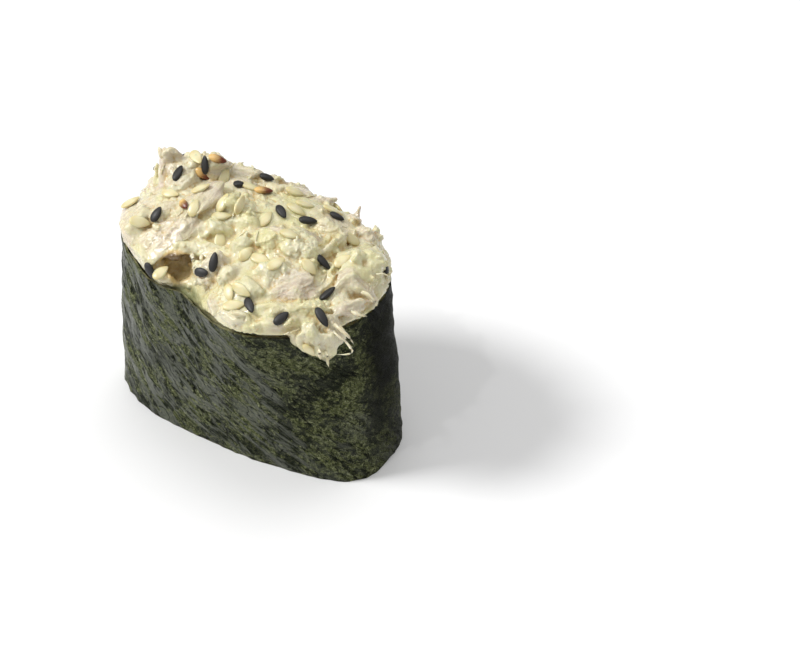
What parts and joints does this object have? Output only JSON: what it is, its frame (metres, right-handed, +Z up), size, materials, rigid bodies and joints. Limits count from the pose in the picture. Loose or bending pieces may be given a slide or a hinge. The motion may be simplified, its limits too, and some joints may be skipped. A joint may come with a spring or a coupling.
{
  "type": "tuna mayonnaise gunkan sushi",
  "caption": "Oval gunkan sushi: pressed rice in a standing band of nori, heaped with flaked tuna in mayonnaise and sprinkled with black and white sesame.",
  "frame": {"origin": "middle of the underside, on the flattened grain of rice that it stands on", "axes": "+X along the sushi, away from the end with the raised crest of tuna; -Y is the front, where the heap spills over the nori; +Z up"},
  "size_m": [0.0502, 0.0354, 0.0429],
  "materials": {
    "nori": "dark green seaweed sheet with a dull sheen",
    "rice": "moist off-white cooked rice",
    "tuna_mayonnaise": "moist cream-coloured flaked tuna in mayonnaise"
  },
  "bodies": {
    "root": {"nori_wrap": "nori", "rice_block": "rice", "tuna_topping": "tuna_mayonnaise"}
  },
  "joints": []
}
